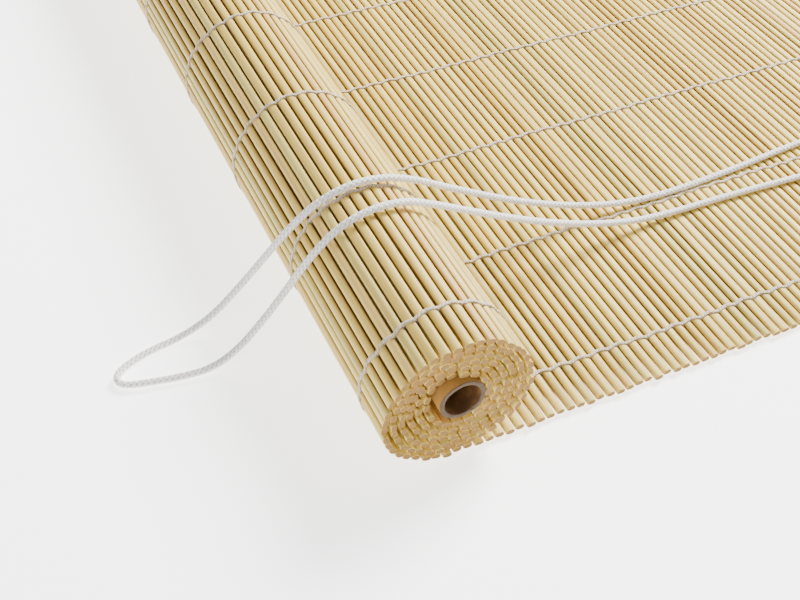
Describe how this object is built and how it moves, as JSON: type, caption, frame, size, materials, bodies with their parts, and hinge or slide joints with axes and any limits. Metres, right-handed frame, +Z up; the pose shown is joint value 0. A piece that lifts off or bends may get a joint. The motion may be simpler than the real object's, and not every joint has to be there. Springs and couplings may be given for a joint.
{
  "type": "bamboo roll-up blind",
  "caption": "Woven bamboo slat blind, part rolled on a cardboard core, with a head batten, hanging plates, cord pulleys and a doubled pull cord laid over it.",
  "frame": {"origin": "on the surface under the middle of the blind's own box, without its cord", "axes": "+X from the roll along the drop to the head batten, +Y along the slats, +Z up off the sheet's face side"},
  "size_m": [0.8777, 0.6, 0.0734],
  "materials": {
    "bamboo": "natural split bamboo, satin",
    "twine": "twisted cotton twine",
    "kraft_board": "spiral-wound kraft board",
    "batten_wood": "planed, clear matt varnish",
    "wheel_plastic": "moulded",
    "cord": "braided polyester",
    "screw_steel": "zinc plated",
    "zinc_steel": "zinc plated sheet"
  },
  "bodies": {
    "blind": {"cord_knots": "cord", "core_tube": "kraft_board", "hanging_plate_far": "zinc_steel", "hanging_plate_near": "zinc_steel", "hanging_plate_screws": "screw_steel", "head_batten": "batten_wood", "pull_cord": "cord", "pulley_axle_far": "zinc_steel", "pulley_axle_near": "zinc_steel", "pulley_bracket_far": "zinc_steel", "pulley_bracket_near": "zinc_steel", "pulley_screws": "screw_steel", "roll_turn_1_slats": "bamboo", "roll_turn_2_slats": "bamboo", "roll_turn_3_slats": "bamboo", "roll_turn_4_slats": "bamboo", "roll_turn_5_slats": "bamboo", "roll_turn_6_slats": "bamboo", "sheet_slats_1": "bamboo", "sheet_slats_2": "bamboo", "sheet_slats_3": "bamboo", "sheet_slats_4": "bamboo", "sheet_slats_5": "bamboo", "sheet_slats_6": "bamboo", "twine_row_1_roll": "twine", "twine_row_1_sheet": "twine", "twine_row_2_roll": "twine", "twine_row_2_sheet": "twine", "twine_row_3_roll": "twine", "twine_row_3_sheet": "twine", "twine_row_4_roll": "twine", "twine_row_4_sheet": "twine", "twine_row_5_roll": "twine", "twine_row_5_sheet": "twine", "twine_row_6_roll": "twine", "twine_row_6_sheet": "twine", "twine_row_7_roll": "twine", "twine_row_7_sheet": "twine", "twine_row_8_roll": "twine", "twine_row_8_sheet": "twine"},
    "wheel_near_1": {"pulley_wheel_near_1": "wheel_plastic"},
    "wheel_near_2": {"pulley_wheel_near_2": "wheel_plastic"},
    "wheel_far": {"pulley_wheel_far": "wheel_plastic"}
  },
  "joints": [
    {"name": "wheel_near_1_spin", "type": "hinge", "parent": "blind", "child": "wheel_near_1", "pos_m": [0.36827, -0.22285, 0.01838], "axis": [0, 1, 0], "continuous": true},
    {"name": "wheel_near_2_spin", "type": "hinge", "parent": "blind", "child": "wheel_near_2", "pos_m": [0.36827, -0.21415, 0.01838], "axis": [0, 1, 0], "continuous": true},
    {"name": "wheel_far_spin", "type": "hinge", "parent": "blind", "child": "wheel_far", "pos_m": [0.36827, 0.2185, 0.01838], "axis": [0, 1, 0], "continuous": true}
  ]
}
